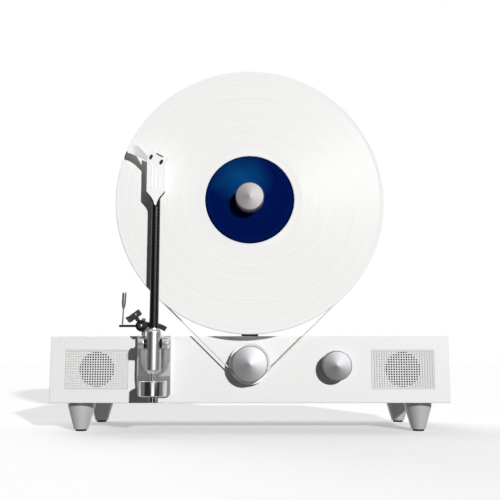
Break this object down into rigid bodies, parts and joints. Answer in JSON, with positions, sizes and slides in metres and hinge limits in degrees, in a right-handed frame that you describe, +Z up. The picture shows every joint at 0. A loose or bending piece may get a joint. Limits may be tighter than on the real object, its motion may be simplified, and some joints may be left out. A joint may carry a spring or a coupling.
{
  "type": "vertical record player",
  "caption": "Vertical belt-driven record player: a low speaker cabinet on turned feet with the record standing in front, held by a clamp, and a tonearm on the front face.",
  "frame": {"origin": "on the surface the feet stand on, under the middle of the bounding box", "axes": "+X to the right seen from the front, -Y out of the front, +Z up"},
  "size_m": [0.445, 0.2214, 0.4088],
  "materials": {
    "black_metal": "black powder coat",
    "black_paper": "pressed black paper pulp",
    "black_plastic": "moulded black, fine grain",
    "blue_paper": "printed blue paper, plain",
    "carbon_fibre": "black carbon-fibre tube, clear coat",
    "clear_belt": "clear moulded elastomer cord",
    "green_board": "green fibreglass board, solder mask",
    "plain_steel": "bright zinc plate",
    "polished_aluminium": "turned and polished",
    "polished_steel": "turned and polished",
    "satin_aluminium": "bead-blasted, clear anodised",
    "spun_aluminium": "lathe-spun, clear anodised",
    "white_lacquer": "white satin lacquer on fibreboard",
    "white_mesh": "white powder-coated perforated steel",
    "white_plastic": "moulded white plastic, satin",
    "white_vinyl": "pressed white vinyl"
  },
  "bodies": {
    "base": {"amplifier_board": "green_board", "arm_rest_clip": "black_plastic", "armboard": "satin_aluminium", "armboard_bolt_left": "plain_steel", "armboard_bolt_right": "plain_steel", "back_panel": "black_plastic", "bearing_housing": "satin_aluminium", "board_bracket": "satin_aluminium", "cabinet": "white_lacquer", "drive_belt": "clear_belt", "drive_motor": "plain_steel", "foot_front_left": "satin_aluminium", "foot_front_right": "satin_aluminium", "foot_rear_left": "satin_aluminium", "foot_rear_right": "satin_aluminium", "front_bearing": "plain_steel", "rear_bearing": "plain_steel", "left_driver_cone": "black_paper", "right_driver_cone": "black_paper", "left_driver_frame": "black_metal", "right_driver_frame": "black_metal", "left_grille": "white_mesh", "right_grille": "white_mesh", "lift_body": "black_metal", "lift_post": "polished_steel", "motor_screw_left": "black_metal", "motor_screw_right": "black_metal", "power_inlet": "black_plastic", "support_column": "black_metal", "swing_bearing": "plain_steel", "switch_frame": "black_plastic", "volume_control": "black_plastic"},
    "platter": {"platter": "white_plastic", "spindle": "polished_steel", "record": "white_vinyl", "record_label": "blue_paper"},
    "clamp": {"record_clamp": "spun_aluminium"},
    "pulley": {"drive_pulley": "spun_aluminium", "pulley_cap": "spun_aluminium", "motor_shaft": "plain_steel"},
    "knob": {"volume_knob": "spun_aluminium", "volume_shaft": "plain_steel"},
    "rocker": {"power_rocker": "black_plastic"},
    "yoke": {"yoke": "satin_aluminium", "pivot_screw_left": "polished_steel", "pivot_screw_right": "polished_steel"},
    "arm": {"arm_sleeve": "satin_aluminium", "arm_tube": "carbon_fibre", "counterweight_rod": "polished_steel", "rod_end_cap": "black_metal", "headshell": "white_plastic", "cartridge": "white_plastic", "cartridge_screw_left": "polished_steel", "cartridge_screw_right": "polished_steel", "stylus": "black_plastic"},
    "counterweight": {"counterweight": "polished_aluminium"},
    "cue_lever": {"lever_shaft": "black_metal", "lever_handle": "polished_steel"},
    "lift_bar": {"lift_bar": "black_metal"}
  },
  "joints": [
    {"name": "platter_spin", "type": "hinge", "parent": "base", "child": "platter", "pos_m": [0, -0.06351, 0.258], "axis": [0, 1, 0], "continuous": true},
    {"name": "pulley_spin", "type": "hinge", "parent": "base", "child": "pulley", "pos_m": [0, -0.06351, 0.0753], "axis": [0, 1, 0], "continuous": true},
    {"name": "clamp_off", "type": "slide", "parent": "platter", "child": "clamp", "axis": [0, -1, 0], "range_m": [0, 0.025]},
    {"name": "arm_swing", "type": "hinge", "parent": "base", "child": "yoke", "pos_m": [-0.1035, -0.06351, 0.0972], "axis": [0, 1, 0], "range_deg": [-35.5, 17]},
    {"name": "arm_lift", "type": "hinge", "parent": "yoke", "child": "arm", "pos_m": [-0.1035, -0.09601, 0.0972], "axis": [1, 0, 0], "range_deg": [0, 3.2]},
    {"name": "counterweight_slide", "type": "slide", "parent": "arm", "child": "counterweight", "axis": [0, 0, 1], "range_m": [0, 0.0042]},
    {"name": "cue_lever_turn", "type": "hinge", "parent": "base", "child": "cue_lever", "pos_m": [-0.1402, -0.08001, 0.1166], "axis": [-1, 0, 0], "range_deg": [0, 85]},
    {"name": "lift_bar_slide", "type": "slide", "parent": "base", "child": "lift_bar", "axis": [0, -1, 0], "range_m": [0, 0.0013]},
    {"name": "volume_turn", "type": "hinge", "parent": "base", "child": "knob", "pos_m": [0.0958, -0.06351, 0.0733], "axis": [0, 1, 0], "range_deg": [0, 300]},
    {"name": "power_switch", "type": "hinge", "parent": "base", "child": "rocker", "pos_m": [-0.118, 0.10649, 0.06915], "axis": [1, 0, 0], "range_deg": [-18, 0]}
  ],
  "couplings": [
    {"joint": "pulley_spin", "follows": "platter_spin", "ratio": 7.7668},
    {"joint": "lift_bar_slide", "follows": "cue_lever_turn", "m_per_rad": 0.000741},
    {"joint": "arm_lift", "follows": "cue_lever_turn", "ratio": 0.036}
  ]
}
